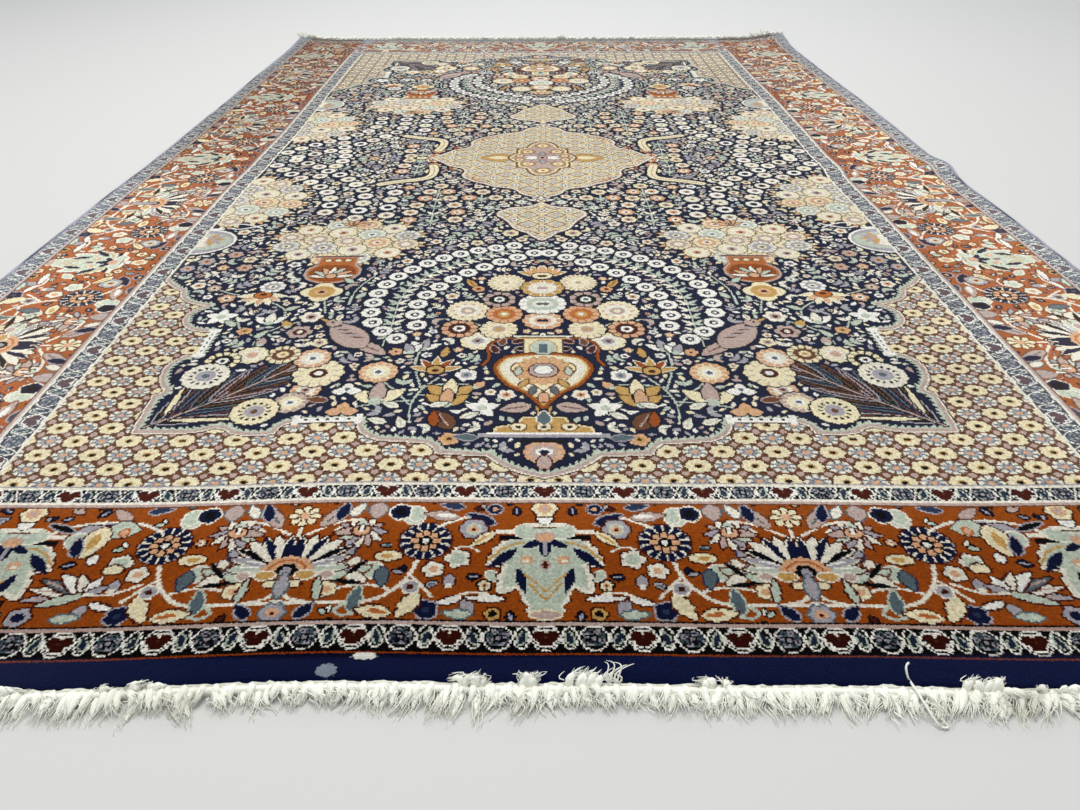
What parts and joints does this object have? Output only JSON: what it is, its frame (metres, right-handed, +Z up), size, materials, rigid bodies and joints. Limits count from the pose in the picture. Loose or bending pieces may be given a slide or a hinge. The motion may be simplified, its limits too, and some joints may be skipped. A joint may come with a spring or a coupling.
{
  "type": "persian rug",
  "caption": "Hand-knotted pile rug lying flat, with a bordered floral medallion design, overcast sides and combed fringes at both ends.",
  "frame": {"origin": "on the floor, under the middle of the whole rug with its fringes", "axes": "+X across the rug, +Y along its length towards the far end, whose right corner curls up a little, +Z up out of the pile"},
  "size_m": [1.391, 2.2844, 0.0211],
  "materials": {
    "pile": "short cut wool pile knotted in navy, rust, ivory and gold",
    "overcast": "navy wool wound round the side cords",
    "fringe": "combed off-white cotton warp ends"
  },
  "bodies": {
    "root": {"rug_body": "pile", "selvedge_left": "overcast", "selvedge_right": "overcast", "fringe_near": "fringe", "fringe_far": "fringe"}
  },
  "joints": []
}
